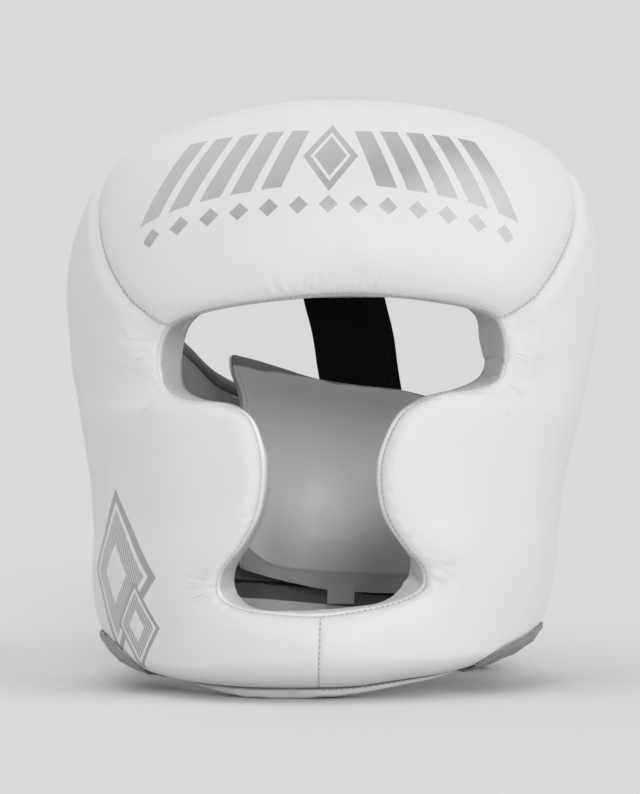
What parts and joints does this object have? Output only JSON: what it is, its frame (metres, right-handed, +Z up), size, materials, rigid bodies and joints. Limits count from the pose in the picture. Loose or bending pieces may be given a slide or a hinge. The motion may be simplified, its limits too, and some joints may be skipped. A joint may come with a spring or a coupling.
{
  "type": "boxing headguard",
  "caption": "Padded boxing headguard with cheek pads and a chin bar round a keyhole face opening, a crown pad, ear panels, two overlapping rear flaps and a rear strap.",
  "frame": {"origin": "middle of the guard's outline on the ground that its chin lip and rear hems stand on", "axes": "+Z up, the wearer looks along -Y, the wearer's left is +X"},
  "size_m": [0.2346, 0.2647, 0.2525],
  "materials": {
    "white_leather": "smooth satin",
    "silver_leather": "silver grey, satin",
    "grey_lining": "brushed synthetic suede",
    "dark_cloth": "woven, matte",
    "label_cloth": "blank woven tape",
    "hook_and_loop": "hook and loop tape",
    "black_web": "elastic webbing, matte",
    "foam": "closed-cell foam"
  },
  "bodies": {
    "shell": {"forehead_cover": "white_leather", "forehead_foam": "foam", "forehead_lining": "grey_lining", "cheek_cover_left": "white_leather", "cheek_cover_right": "white_leather", "cheek_foam_left": "foam", "cheek_foam_right": "foam", "chin_foam_left": "foam", "chin_foam_right": "foam", "side_lining_left": "grey_lining", "side_lining_right": "grey_lining", "face_facing": "grey_lining", "chin_lip": "white_leather", "jaw_strip_left": "silver_leather", "jaw_strip_right": "silver_leather", "ear_cover_left": "white_leather", "ear_cover_right": "white_leather", "ear_foam_left": "foam", "ear_foam_right": "foam", "ear_lining_left": "grey_lining", "ear_lining_right": "grey_lining", "ear_rim_left": "white_leather", "ear_rim_right": "white_leather", "ear_hem_left": "white_leather", "ear_hem_right": "white_leather", "crown_cover": "white_leather", "crown_foam": "foam", "crown_lining": "grey_lining", "crown_piping": "white_leather", "crown_loop_patch": "hook_and_loop"},
    "inner_flap": {"inner_flap_cover": "white_leather", "inner_flap_foam": "foam", "inner_flap_lining": "grey_lining", "inner_flap_band": "grey_lining", "inner_loop_patch": "hook_and_loop", "label_tab": "label_cloth"},
    "outer_flap": {"outer_flap_cover": "white_leather", "outer_flap_foam": "foam", "outer_flap_lining": "dark_cloth", "outer_flap_roll": "dark_cloth", "outer_hook_patch": "hook_and_loop", "strap_anchor": "black_web"},
    "strap": {"rear_strap": "black_web", "strap_hook_patch": "hook_and_loop"}
  },
  "joints": [
    {"name": "outer_flap_open", "type": "hinge", "parent": "shell", "child": "outer_flap", "pos_m": [-0.07437, 0.0575, 0.028], "axis": [-0.0921, 0.1112, 0.9895], "range_deg": [0, 70]},
    {"name": "inner_flap_open", "type": "hinge", "parent": "shell", "child": "inner_flap", "pos_m": [0.06334, 0.0577, 0.034], "axis": [0.1572, 0.0996, 0.9825], "range_deg": [-24.5, 0]},
    {"name": "strap_peel", "type": "hinge", "parent": "outer_flap", "child": "strap", "pos_m": [0.0182, 0.1307, 0.112], "axis": [-1, 0, 0], "range_deg": [0, 100]}
  ],
  "couplings": [
    {"joint": "inner_flap_open", "follows": "outer_flap_open", "ratio": -0.35}
  ]
}
